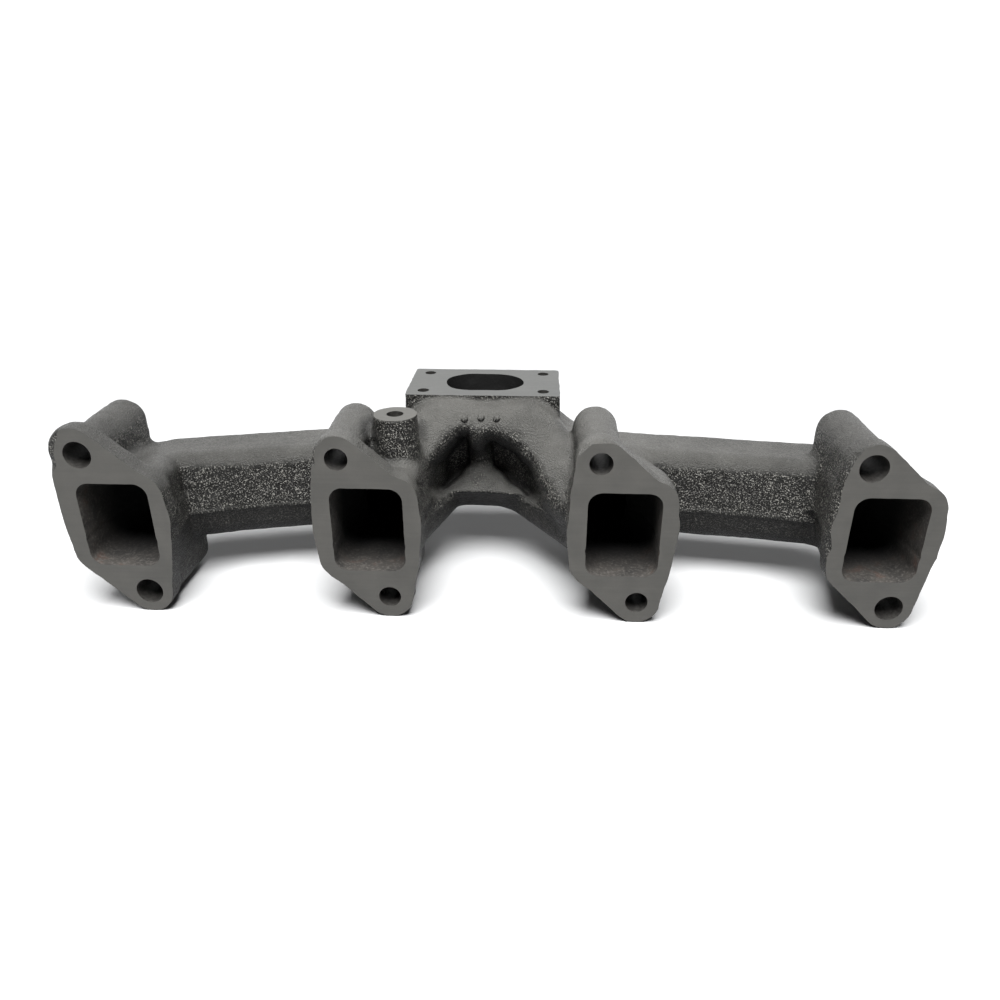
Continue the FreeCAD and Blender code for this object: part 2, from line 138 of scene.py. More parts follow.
# The inner ports' ducts change from neck to leg, and spread and rise at their far ends.
LEG_NECK = (6.0, 34.0)
LEG_FAR = (27.0, 58.0)
LEG_RISE = 1.5
LEG_LIFT = 1.0
LEG_SPREAD = 3.5
LEG_TUCK = 0.08
LEG_EXTRA_ROUND = 5.0

SENSOR_RADIUS = 9.0
BOSS_RADIUS = 9.2
BOSS_SET_IN = 0.9
# Metal left on for milling, and what the skin gives up to its roughness.
STOCK = 1.5
SKIN_SHRINK = 0.15
PIP_RADIUS = 1.6
PIP_PITCH = 7.0
PIP_RISE = 0.85
PIP_SUNK = 0.36

# ---------------------------------------------------------------- the distance field
STEP = 0.85
FIELD_LOW = (-177.0, -5.0, -43.0)
FIELD_HIGH = (177.0, 94.0, 44.0)
AXES = [np.arange(low, high, STEP, dtype=np.float32) for low, high in zip(FIELD_LOW, FIELD_HIGH)]
FAR = np.float32(30.0)


def ease(value, start, end):
    """0 before start, 1 after end, and smooth between."""
    share = np.clip((value - start) / (end - start), 0.0, 1.0)
    return share * share * (3.0 - 2.0 * share)


def soft_union(near, new, fillet):
    """The nearer of two distances, rounded where they meet."""
    mix = np.maximum(fillet - np.abs(near - new), 0.0) / fillet
    return np.minimum(near, new) - mix * mix * fillet / 4


def add(field, low, high, shape, fillet):
    """Melt a shape into the field inside a box; fillet is how far the melt reaches."""
    part = tuple(slice(*np.searchsorted(axis, (a, b))) for axis, a, b in zip(AXES, low, high))
    x, y, z = (axis[span].reshape([-1 if place == turn else 1 for place in range(3)])
               for turn, (axis, span) in enumerate(zip(AXES, part)))
    field[part] = soft_union(field[part], shape(x, y, z), fillet)


def rounded(across, up, half_across, half_up, corner):
    """Distance to a rounded rectangle, or with slant lengths to a rounded block's section."""
    a = np.abs(across) - half_across + corner
    b = np.abs(up) - half_up + corner
    return np.hypot(np.maximum(a, 0), np.maximum(b, 0)) + np.minimum(np.maximum(a, b), 0) - corner


def capsule(x, y, z, start, end, start_radius, end_radius):
    """Distance to a rod whose radius changes evenly from start to end."""
    start, end = np.array(start), np.array(end)
    run = end - start
    along = ((x - start[0]) * run[0] + (y - start[1]) * run[1] + (z - start[2]) * run[2]) / (run @ run)
    along = np.clip(along, 0.0, 1.0)
    gap = np.sqrt(sum((value - start[k] - along * run[k]) ** 2 for k, value in enumerate((x, y, z))))
    return gap - (start_radius + along * (end_radius - start_radius))


def route(corners, bends, pitch=1.5):
    """Points along straight runs joined by tangent arcs: bends are the arcs' radii at the inner corners."""
    corners = [np.array(corner, float) for corner in corners]
    points = [corners[0]]
    for before, corner, after, bend in zip(corners, corners[1:], corners[2:], bends):
        back = (before - corner) / np.linalg.norm(before - corner)
        on = (after - corner) / np.linalg.norm(after - corner)
        half = math.acos(np.clip(back @ on, -1, 1)) / 2
        middle = (back + on) / np.linalg.norm(back + on)
        centre = corner + middle * bend / math.sin(half)
        begin = corner + back * bend / math.tan(half) - centre
        finish = corner + on * bend / math.tan(half) - centre
        count = max(3, int(bend * (math.pi - 2 * half) / pitch))
        for share in np.linspace(0, 1, count):
            ray = begin * (1 - share) + finish * share
            points.append(centre + ray * bend / np.linalg.norm(ray))
    points.append(corners[-1])
    return np.array(points)


def plan_distance(x, y, points):
    """How far each place in plan is from a route."""
    gap = np.full(np.broadcast(x, y).shape, 1e3, np.float32)
    for start, end in zip(points, points[1:]):
        run = end - start
        length = np.linalg.norm(run)
        if length < 1e-6:
            continue
        share = np.clip(((x - start[0]) * run[0] + (y - start[1]) * run[1]) / length ** 2, 0.0, 1.0)
        distance = np.hypot(x - start[0] - share * run[0], y - start[1] - share * run[1])
        gap = np.minimum(gap, distance)
    return gap


def duct(points, size):
    """A moulded duct along a plan route.

    size(x, y) gives its half width, top, bottom and corner, how much the sides slope in above
    and below the parting line, and how much that line rises.
    """
    def shape(x, y, z):
        half, top, bottom, corner, lean, tuck, rise = size(x, y)
        above = z - PARTING - rise
        ridge = PARTING_RIDGE * np.exp(-(above / RIDGE_WIDTH) ** 2)
        across = plan_distance(x, y, points) + tuck * np.maximum(-above, 0.0)
        across = across + lean * np.maximum(above, 0.0) - ridge
        return rounded(across, z - (top + bottom) / 2, half, (top - bottom) / 2, corner)
    return shape


# Plan lines of the two runners, which climb away from the head towards the collector.
LEFT_SLOPE = math.tan(math.radians(13.2))
RIGHT_SLOPE = math.tan(math.radians(7.9))
LEFT_OFFSET = 73.95
RIGHT_OFFSET = 64.68
MEET_X = (RIGHT_OFFSET - LEFT_OFFSET) / (LEFT_SLOPE + RIGHT_SLOPE)
LOG = route([(PORTS[0], -20.0), (PORTS[0], LEFT_OFFSET + LEFT_SLOPE * PORTS[0]),
             (MEET_X, LEFT_OFFSET + LEFT_SLOPE * MEET_X),
             (PORTS[3], RIGHT_OFFSET - RIGHT_SLOPE * PORTS[3]), (PORTS[3], -20.0)], (19.0, 150.0, 19.0))
LEG_START = 25.0
LEG_END = (66.0, 68.0)
LEG_SHIFT = (12.0, -30.0)
LEGS = [route([(port, -20.0), (port, LEG_START), (port + shift, end)], (25.0,))
        for port, shift, end in zip(PORTS[1:3], LEG_SHIFT, LEG_END)]


def port_blend(port, less, half):
    """Half width, top and bottom of a duct, from its own size (port = 0) to its port's (port = 1)."""
    port_half = PORT_HALF if less else NECK_HALF
    return ((half - less) * (1 - port) + port_half[0] * port,
            (DUCT_TOP - less) * (1 - port) + port_half[1] * port,
            (DUCT_BOTTOM + less) * (1 - port) - port_half[1] * port)


def log_size(less):
    """Sizes of the log and its end ports, inside (less = the wall) or outside (less = 0)."""
    def size(x, y):
        port = (1.0 - ease(y, *LOG_NECK)) * ease(np.abs(x), *LOG_ENDS)
        arch = ease(x, *ARCH_LEFT) * (1.0 - ease(x, *ARCH_RIGHT))
        half, top, bottom = port_blend(port, less, RUNNER_HALF)
        bottom = bottom + ARCH_LIFT * arch
        if less:
            return half + CORE_SET_BACK * arch, top, bottom, PORT_ROUND, ARCH_LEAN * arch, 0.0, 0.0
        return (half + ARCH_BULGE * arch, top, bottom, DUCT_ROUND, DRAFT + ARCH_LEAN * arch,
                TUCK + ARCH_TUCK * arch, ARCH_PARTING * arch)
    return size


def leg_size(less):
    """Sizes of an inner port's duct, inside or outside."""
    def size(x, y):
        far = ease(y, *LEG_FAR)
        half, top, bottom = port_blend(1.0 - ease(y, *LEG_NECK), less, NECK_HALF[0])
        top = top + LEG_RISE * far
        bottom = bottom + LEG_LIFT * far
        if less:
            return half, top, bottom, PORT_ROUND, 0.0, 0.0, 0.0
        return half + LEG_SPREAD * far, top, bottom, DUCT_ROUND + LEG_EXTRA_ROUND * far, 0.0, LEG_TUCK, 0.0
    return size


def block(centre, half, corner, fall=(0.0, 0.0), foot=0.0):
    """A rounded block; fall is how much each half width grows per millimetre below foot."""
    def shape(x, y, z):
        down = np.maximum(foot - z, 0.0)
        plan = rounded(x - centre[0], y - centre[1],
                       half[0] + fall[0] * down, half[1] + fall[1] * down, corner[0])
        steep = 1.0 / math.hypot(1.0, max(fall))
        side = np.maximum(plan * steep, -half[2]) + half[2]
        return rounded(side, z - centre[2], half[2], half[2], corner[1])
    return shape


def boss(x_middle, z_middle, sign):
    """A round boss lying along Y with its web down to the duct; sign is the web's far side."""
    def shape(x, y, z):
        out = np.maximum((z - z_middle) * sign, 0.0)
        side = np.hypot(x - x_middle, out) - BOSS_RADIUS + BOSS_SET_IN * (1 - y / BOSS_END)
        side = np.maximum(side, -sign * z)
        half = (BOSS_END + STOCK) / 2
        return rounded(side + half, y - (BOSS_END - STOCK) / 2, half, half, 2.2)
    return shape


def belt_distance(x, z, index):
    """Distance to the belt round the wheels: the largest reach over every direction."""
    wheels = BELT + [FIRST_LOBE] if index == 0 else BELT
    distance = np.full(np.broadcast(x, z).shape, -FAR)
    for angle in np.radians(np.arange(0.0, 360.0, 2.0)):
        out = (math.cos(angle), math.sin(angle))
        reach = max(wheel[0] * out[0] + wheel[1] * out[1] + wheel[2] for wheel in wheels)
        distance = np.maximum(distance, (x - PORTS[index]) * out[0] + z * out[1] - reach)
    return distance


# Low patches that the milling of each head face does not reach: x, z from the port's middle,
# reach and depth.
LOW_PATCHES = [
    [(-21.0, 36.0, 8.0, 2.3), (-22.5, 26.0, 4.0, 2.1)],
    [(-19.0, 36.0, 6.0, 2.4), (-17.5, 29.0, 2.6, 2.4)],
    [(-11.0, 41.0, 6.0, 2.6), (-18.0, 36.0, 4.0, 2.2)],
    [(-20.0, 34.0, 7.0, 2.8), (-22.5, 14.0, 6.0, 2.6), (-21.5, -2.0, 5.0, 2.3), (-13.5, -17.5, 2.4, 2.3)],
]


def port_flange(index):
    def shape(x, y, z):
        side = belt_distance(x, z, index)
        front = np.full_like(side, -STOCK)
        for dx, dz, reach, depth in LOW_PATCHES[index]:
            front = front + depth * np.exp(-((x - PORTS[index] - dx) ** 2 + (z - dz) ** 2) / reach ** 2)
        half = (FLANGE_THICK - front) / 2
        return rounded(side + half, y - (FLANGE_THICK + front) / 2, half, half, 1.7)
    return shape


def wander(spacing, seed):
    """Smooth random heights over the whole field, about one millimetre either way."""
    dice = np.random.default_rng(seed)
    counts = [int(np.ceil((axis[-1] - axis[0]) / spacing)) + 3 for axis in AXES]
    values = dice.standard_normal(counts).astype(np.float32)
    for turn, axis in enumerate(AXES):
        place = (axis - axis[0]) / spacing
        first = place.astype(int)
        share = (place - first).astype(np.float32)
        share = share * share * (3 - 2 * share)
        share = share.reshape([-1 if spot == turn else 1 for spot in range(3)])
        values = values.take(first, turn) * (1 - share) + values.take(first + 1, turn) * share
    return values


# The shoulder in front of the outlet: its ridge, and the two lobes that run down to the inner
# ports.  Each rod: start, end, the radii there and how far it melts.
SHOULDER_RODS = [((-27, 48.5, 26.5), (12, 48.5, 26.5), 10.5, 10.5, 1.0),
                 ((-25, 52, 22), (-47, 27, 4), 14.0, 15.5, 8.0),
                 ((11, 52, 22), (36, 28, 4), 14.0, 15.5, 8.0)]
# The deep creases under the shoulder, left and right: x, z and radius along each, at CREASE_Y.
# Everything in front goes too, upwards along CREASE_RISE.
CREASES = [[(-15.5, 17.0, 1.5), (-17.5, 9.0, 4.5), (-22.5, 2.5, 4.5), (-26.5, -4.5, 2.0)],
           [(-3.0, 15.0, 1.5), (2.0, 7.5, 5.0), (8.5, 1.0, 5.0), (14.0, -6.0, 2.5)]]
CREASE_Y = 57.0
CREASE_RISE = 0.4
CREASE_FILLET = np.float32(7.0)
# The column left standing between the creases.
COLUMN = ((-9.3, 51.5, 22.5), (-10, 61.5, 1), 4.6, 4.2)
# The blocks on the outlet's axis: half sizes, corners, and how much they widen below where.
CHAMBER = ((33.0, 15.0, 13.5), (14.0, 8.0))
CHAMBER_CORE = ((29.0, 9.5, 10.0), (8.0, 5.0))
CHAMBER_BACK = 4.0
HOPPER = ((30.0, 17.5, 20.0), (8.0, 3.0), (0.75, 0.06), 29.0)
OUTLET_CORE = ((17.4, 12.5, 24.0), (12.4, 1.0), (0.6, -0.3), 30.0)
# How far shapes melt into what they meet.
LOG_FILLET = 1.0
LEG_FILLET = 4.0
LEG_CORE_FILLET = 6.0
CHAMBER_FILLET = 6.0
OUTLET_FILLET = 4.0
TURBO_FILLET = 2.0
BOSS_FILLET = 5.0
FLANGE_FILLET = 2.2
COLUMN_FILLET = 3.0
# The parts of the field that those shapes can reach.
EVERYWHERE = (FIELD_LOW, FIELD_HIGH)
SHOULDER_ZONE = ((-95, 5, -40), (85, 94, 44))
CHAMBER_ZONE = ((-70, 30, -40), (60, 94, 40))
HOPPER_ZONE = ((-75, 35, -20), (60, 94, 44))
OUTLET_ZONE = ((-70, 30, -30), (60, 94, 44))
TURBO_ZONE = ((-60, 40, 15), (45, 94, 44))
LEG_ROOM = 42


def with_shoulder(field):
    shoulder = np.full_like(field, FAR)
    for start, end, start_radius, end_radius, melt in SHOULDER_RODS:
        add(shoulder, *SHOULDER_ZONE,
            lambda x, y, z: capsule(x, y, z, start, end, start_radius, end_radius), melt)
    return soft_union(field, shoulder, np.float32(4.0))


def with_creases(field, core):
    """Take the creases out, but leave a thin wall round the core, and stand the column there."""
    creases = np.full_like(field, FAR)
    for crease in CREASES:
        for (x0, z0, start_radius), (x1, z1, end_radius) in zip(crease, crease[1:]):
            add(creases, *SHOULDER_ZONE, lambda x, y, z: capsule(
                x, np.maximum(y, CREASE_Y), z - CREASE_RISE * np.maximum(CREASE_Y - y, 0.0),
                (x0, CREASE_Y, z0), (x1, CREASE_Y, z1), start_radius, end_radius), 2.0)
    carved = -soft_union(-field, creases, CREASE_FILLET)
    walled = soft_union(carved, core - THIN_WALL, np.float32(1.0))
    field = np.where(creases < FAR / 2, walled, field)
    add(field, *SHOULDER_ZONE, lambda x, y, z: capsule(x, y, z, *COLUMN), COLUMN_FILLET)
    return field


def sensor_boss(x, y, z):
    """The upright boss, which widens towards its foot."""
    deep = 20.0
    side = np.hypot(x - SENSOR[0], y - SENSOR[1]) + 0.035 * z - 1.4 + deep
    return rounded(side, z - deep, SENSOR_RADIUS + deep, 20.8, 0.8)


def add_legs(field, less, fillet):
    for leg in LEGS:
        low_x, high_x = leg[:, 0].min() - LEG_ROOM, leg[:, 0].max() + LEG_ROOM
        add(field, (low_x, -5, -43), (high_x, 94, 44), duct(leg, leg_size(less)), fillet)


def outer_field(core):
    """The casting's outside; the core keeps a wall behind the creases."""
    field = np.full([len(axis) for axis in AXES], FAR, np.float32)
    add(field, *EVERYWHERE, duct(LOG, log_size(0.0)), LOG_FILLET)
    add(field, *CHAMBER_ZONE, block((THROAT[0], THROAT[1] + CHAMBER_BACK, 4.0), *CHAMBER), CHAMBER_FILLET)
    add_legs(field, 0.0, LEG_FILLET)
    field = with_shoulder(field)
    add(field, *HOPPER_ZONE, block((THROAT[0], THROAT[1], 15.0), *HOPPER), CHAMBER_FILLET)
    half = (TURBO_HIGH - TURBO_LOW) / 2
    turbo = block((THROAT[0], THROAT[1], (TURBO_LOW[2] + TURBO_TOP + STOCK) / 2),
                  (half[0], half[1], (TURBO_TOP + STOCK - TURBO_LOW[2]) / 2), (1.4, 1.0))
    add(field, *TURBO_ZONE, turbo, TURBO_FILLET)
    field = with_creases(field, core)
    for port in PORTS:
        upper = boss(port + UPPER_HOLE[0], UPPER_HOLE[1], 1)
        lower = boss(port + LOWER_HOLE[0], LOWER_HOLE[1], -1)
        add(field, (port - 40, -5, -5), (port + 30, 55, 44), upper, BOSS_FILLET)
        add(field, (port - 30, -5, -43), (port + 40, 55, 5), lower, BOSS_FILLET)
    add(field, (SENSOR[0] - 25, SENSOR[1] - 25, -5), (SENSOR[0] + 25, SENSOR[1] + 25, 44),
        sensor_boss, BOSS_FILLET)
    for index, port in enumerate(PORTS):
        add(field, (port - 40, -5, -43), (port + 40, 25, 44), port_flange(index), FLANGE_FILLET)
    return field + SKIN_SHRINK + 0.10 * wander(2.6, 5) + 0.06 * wander(7.0, 6) + 0.10 * wander(19.0, 7)


def core_field():
    """The gas passages, as the sand cores that leave them."""
    field = np.full([len(axis) for axis in AXES], FAR, np.float32)
    add(field, *EVERYWHERE, duct(LOG, log_size(WALL)), LOG_FILLET)
    add_legs(field, WALL, LEG_CORE_FILLET)
    chamber = block((THROAT[0], THROAT[1] + CHAMBER_BACK, 3.0), *CHAMBER_CORE)
    add(field, *CHAMBER_ZONE, chamber, CHAMBER_FILLET)
    add(field, *OUTLET_ZONE, block((THROAT[0], THROAT[1], 25.0), *OUTLET_CORE), OUTLET_FILLET)
    away_from_mouths = ease(AXES[1], 4.0, 12.0).reshape(1, -1, 1)
    return field + 0.05 * wander(3.0, 8) + 0.2 * wander(9.0, 9) * away_from_mouths


def field_at(field, points):
    """The field between its grid places."""
    place = (points - np.array([axis[0] for axis in AXES])) / STEP
    place = np.clip(place, 0, np.array(field.shape) - 1.001)
    first = place.astype(int)
    share = place - first
    value = 0.0
    for corner in range(8):
        step = np.array([corner >> 2 & 1, corner >> 1 & 1, corner & 1])
        weight = np.prod(np.where(step, share, 1 - share), axis=1)
        value = value + weight * field[tuple((first + step).T)]
    return value


def field_slope(field, points):
    """Which way the field grows: the outward normal of the skin."""
    slope = np.empty_like(points)
    for turn in range(3):
        reach = np.zeros(3)
        reach[turn] = 0.7 * STEP
        slope[:, turn] = field_at(field, points + reach) - field_at(field, points - reach)
    return slope / np.maximum(np.linalg.norm(slope, axis=1, keepdims=True), 1e-9)


# ---------------------------------------------------------------- meshes and machining
def new_object(name, data):
    thing = bpy.data.objects.new(name, data)
    bpy.context.scene.collection.objects.link(thing)
    return thing


def mesh_of(name, points, faces):
    mesh = bpy.data.meshes.new(name)
    mesh.from_pydata(points, [], faces)
    mesh.update()
    return mesh


def skin_mesh(field):
    grid = openvdb.FloatGrid()
    grid.background = float(FAR)
    grid.copyFromArray(field)
    points, quads = grid.convertToQuads()
    points = points * STEP + np.array([axis[0] for axis in AXES], np.float32)
    mesh = bpy.data.meshes.new("casting")
    mesh.vertices.add(len(points))
    mesh.vertices.foreach_set("co", points.astype(np.float32).ravel())
    mesh.loops.add(4 * len(quads))
    mesh.polygons.add(len(quads))
    mesh.loops.foreach_set("vertex_index", quads.astype(np.int32).ravel())
    mesh.polygons.foreach_set("loop_start", np.arange(0, 4 * len(quads), 4, dtype=np.int32))
    mesh.update(calc_edges=True)
    mesh.validate()
    return mesh


def signed_volume(mesh):
    corners = np.empty(3 * len(mesh.vertices), np.float32)
    mesh.vertices.foreach_get("co", corners)
    corners = corners.reshape(-1, 3).astype(float)
    mesh.calc_loop_triangles()
    triangles = np.empty(3 * len(mesh.loop_triangles), np.int32)
    mesh.loop_triangles.foreach_get("vertices", triangles)
    a, b, c = (corners[triangles.reshape(-1, 3)[:, k]] for k in range(3))
    return float(np.einsum("ij,ij->i", a, np.cross(b, c)).sum() / 6)


def boolean(base, tool, operation):
    """A new mesh: base and tool combined."""
    modifier = base.modifiers.new(operation, "BOOLEAN")
    modifier.operation = operation
    modifier.solver = "MANIFOLD"
    modifier.object = tool
    graph = bpy.context.evaluated_depsgraph_get()
    mesh = bpy.data.meshes.new_from_object(base.evaluated_get(graph))
    base.modifiers.remove(modifier)
    return mesh


def box_tool(low, high):
    corners = [(x, y, z) for x in (low[0], high[0]) for y in (low[1], high[1]) for z in (low[2], high[2])]
    faces = [(0, 1, 3, 2), (4, 6, 7, 5), (0, 4, 5, 1), (2, 3, 7, 6), (0, 2, 6, 4), (1, 5, 7, 3)]
    return new_object("tool", mesh_of("tool", corners, faces))


def drill_tool(drills, sides=48):
    """Closed drills as one mesh; each is start, direction, radius, depth and length of its point."""
    points = []
    faces = []
    for start, direction, radius, depth, tip in drills:
        start, direction = Vector(start), Vector(direction)
        across = direction.orthogonal().normalized()
        over = direction.cross(across)
        base = len(points)
        for reach in (0.0, depth):
            for turn in range(sides):
                angle = 2 * math.pi * turn / sides
                ray = across * math.cos(angle) + over * math.sin(angle)
                points.append(start + direction * reach + radius * ray)
        points += [start, start + direction * (depth + tip)]
        for turn in range(sides):
            after = (turn + 1) % sides
            faces.append((base + turn, base + after, base + sides + after, base + sides + turn))
            faces.append((base + 2 * sides, base + after, base + turn))
            faces.append((base + 2 * sides + 1, base + sides + turn, base + sides + after))
    return new_object("drills", mesh_of("drills", [tuple(point) for point in points], faces))


def drills():
    jobs = []
    for index, port in enumerate(PORTS):
        for dx, dz in (UPPER_HOLE, LOWER_HOLE):
            jobs.append(((port + dx, -3.0, dz), (0, 1, 0), BOLT_RADIUS[index], BOSS_END + 6.0, 0.0))
    for right in (-0.5, 0.5):
        for back in (-0.5, 0.5):
            place = (THROAT[0] + right * TURBO_BOLTS["spacing_x_mm"],
                     THROAT[1] + back * TURBO_BOLTS["spacing_y_mm"], TURBO_TOP + 2.0)
            jobs.append((place, (0, 0, -1), TURBO_BOLTS["hole_r_mm"], 17.0, 1.5))
    jobs.append(((SENSOR[0], SENSOR[1], TURBO_TOP + 2.0), (0, 0, -1),
                 SENSOR_DRILL["r_mm"], SENSOR_DRILL["length_mm"] + 2.0, 2.0))
    return jobs


def machine(casting):
    """Mill the head faces and the two top faces, and drill every hole."""
    for tool in (box_tool((-200, -30, -80), (200, 0, 80)), drill_tool(drills()),
                 box_tool((TURBO_LOW[0] - 5, TURBO_LOW[1] - 5, TURBO_TOP),
                          (TURBO_HIGH[0] + 5, TURBO_HIGH[1] + 8, 80)),
                 box_tool((SENSOR[0] - 15, SENSOR[1] - 12, TURBO_TOP),
                          (SENSOR[0] + 12, SENSOR[1] + 14, 80))):
        casting.data = boolean(casting, tool, "DIFFERENCE")
        bpy.data.objects.remove(tool)


# Where the casting is sawn: X of the elbows' ends, Y behind the inner legs, X of the collector's ends.
ELBOW_CUT = 118.0
LEG_CUT = 49.0
LEFT_CUT = -62.0
RIGHT_CUT = 46.0


def saw(solid, low, high):
    """Take the part of a solid inside a box off it, as a mesh; the solid keeps the rest."""
    tool = box_tool(low, high)
    inside = boolean(solid, tool, "INTERSECT")
    solid.data = boolean(solid, tool, "DIFFERENCE")
    bpy.data.objects.remove(tool)
    return inside


def saw_port(block_of_port, index, pieces):
    """The flange, both bosses and the neck of one port; the second port has the sensor boss too."""
    port = PORTS[index]
    number = index + 1
    side = 12.5
    foot = DUCT_TOP + 1.5
    back = BOSS_END + 4
    upper, lower = port + UPPER_HOLE[0], port + LOWER_HOLE[0]
    upper_right = SENSOR[0] - SENSOR_RADIUS - 0.6 if index == 1 else upper + side
    pieces[f"port_flange_{number}"] = saw(
        block_of_port, (port - 60, -10, -60), (port + 60, FLANGE_THICK, 60))
    pieces[f"upper_bolt_boss_{number}"] = saw(
        block_of_port, (upper - side, 0, foot), (upper_right, back, 60))
    pieces[f"lower_bolt_boss_{number}"] = saw(
        block_of_port, (lower - side, 0, -60), (lower + side, back, DUCT_BOTTOM))
    if index == 1:
        pieces["sensor_boss"] = saw(block_of_port, (upper_right, SENSOR[1] - 12, foot),
                                    (SENSOR[0] + 11, SENSOR[1] + 11, 60))
    pieces[f"port_neck_{number}"] = saw(block_of_port, (port - 60, 0, -60), (port + 60, NECK_END, 60))


def saw_up(casting):
    """Saw the casting into one mesh for each CAD node."""
    pieces = {}
    for index, low, high in ((0, -200.0, -ELBOW_CUT), (3, ELBOW_CUT, 200.0)):
        end = new_object("end", saw(casting, (low, -10, -60), (high, 120, 60)))
        saw_port(end, index, pieces)
        pieces[f"elbow_{index + 1}"] = end.data.copy()
        bpy.data.objects.remove(end)
    turbo_front = TURBO_LOW[1] - 0.3
    pieces["turbo_flange"] = saw(casting, (TURBO_LOW[0] - 3, turbo_front, TURBO_LOW[2] - 0.6), (60, 120, 60))
    pieces["turbo_neck"] = saw(casting, (-75, turbo_front, DUCT_TOP - 1.0), (60, 120, 60))
    pieces["front_shoulder"] = saw(casting, (-52, 36, DUCT_TOP + 3.0), (38, TURBO_LOW[1] + 1, 60))
    for index, low, high in ((1, -76.0, THROAT[0]), (2, THROAT[0], 80.0)):
        inner = new_object("inner", saw(casting, (low, -10, -60), (high, LEG_CUT, 60)))
        saw_port(inner, index, pieces)
        pieces[f"inner_leg_{index + 1}"] = inner.data.copy()
        bpy.data.objects.remove(inner)
    pieces["runner_left"] = saw(casting, (-200, -10, -60), (LEFT_CUT, 120, 60))
    pieces["runner_right"] = saw(casting, (RIGHT_CUT, -10, -60), (200, 120, 60))
    pieces["collector"] = casting.data.copy()
    bpy.data.objects.remove(casting)
    return pieces


# ---------------------------------------------------------------- materials
def link(tree, source, target):
    tree.links.new(source, target)


def noise(tree, place, scale, detail=4.0, rough=0.55, stretch=(1.0, 1.0, 1.0)):
    """A noise texture on the row's own metres; scale counts features per metre."""
    mapping = tree.nodes.new("ShaderNodeMapping")
    mapping.inputs["Scale"].default_value = stretch
    link(tree, place, mapping.inputs["Vector"])
    texture = tree.nodes.new("ShaderNodeTexNoise")
    texture.inputs["Scale"].default_value = scale
    texture.inputs["Detail"].default_value = detail
    texture.inputs["Roughness"].default_value = rough
    link(tree, mapping.outputs["Vector"], texture.inputs["Vector"])
    return texture.outputs["Fac"]


def ramp(tree, value, *stops):
    """A colour ramp; each stop is position and grey or colour."""
    node = tree.nodes.new("ShaderNodeValToRGB")
    elements = node.color_ramp.elements
    while len(elements) < len(stops):
        elements.new(0.5)
    for element, (position, colour) in zip(elements, stops):
        element.position = position
        colour = (colour,) * 3 if isinstance(colour, float) else colour
        element.color = (*colour, 1.0)
    link(tree, value, node.inputs["Fac"])
    return node.outputs["Color"]


def mix(tree, share, first, second, kind="MIX"):
    """Two colours mixed; each of share, first and second is an output or a plain value."""
    node = tree.nodes.new("ShaderNodeMix")
    node.data_type = "RGBA"
    node.blend_type = kind
    sockets = (node.inputs[0], node.inputs[6], node.inputs[7])
    for socket, value in zip(sockets, (share, first, second)):
        if isinstance(value, bpy.types.NodeSocket):
            link(tree, value, socket)
        else:
            socket.default_value = value if isinstance(value, float) else (*value, 1.0)
    return node.outputs[2]


def spread(tree, value, low, high, start=0.0, end=1.0):
    """A value mapped from low..high to start..end, and held beyond."""
    node = tree.nodes.new("ShaderNodeMapRange")
    for socket, number in (("From Min", low), ("From Max", high), ("To Min", start), ("To Max", end)):
        node.inputs[socket].default_value = number
    link(tree, value, node.inputs["Value"])
    return node.outputs["Result"]


def axes_of(tree, vector):
    """The X, Y and Z outputs of a vector."""
    node = tree.nodes.new("ShaderNodeSeparateXYZ")
    link(tree, vector, node.inputs["Vector"])
    return node.outputs


def bump(tree, height, strength, distance, before=None):
    node = tree.nodes.new("ShaderNodeBump")
    node.inputs["Strength"].default_value = strength
    node.inputs["Distance"].default_value = distance
    link(tree, height, node.inputs["Height"])
    if before is not None:
        link(tree, before, node.inputs["Normal"])
    return node.outputs["Normal"]


def material(name, metallic=0.0, specular=0.5):
    """A new material: its tree, its shader and the object's own coordinates."""
    made = bpy.data.materials.new(name)
    made.use_nodes = True
    tree = made.node_tree
    shader = tree.nodes["Principled BSDF"]
    shader.inputs["Metallic"].default_value = metallic
    shader.inputs["Specular IOR Level"].default_value = specular
    place = tree.nodes.new("ShaderNodeTexCoord").outputs["Object"]
    return made, tree, shader, place


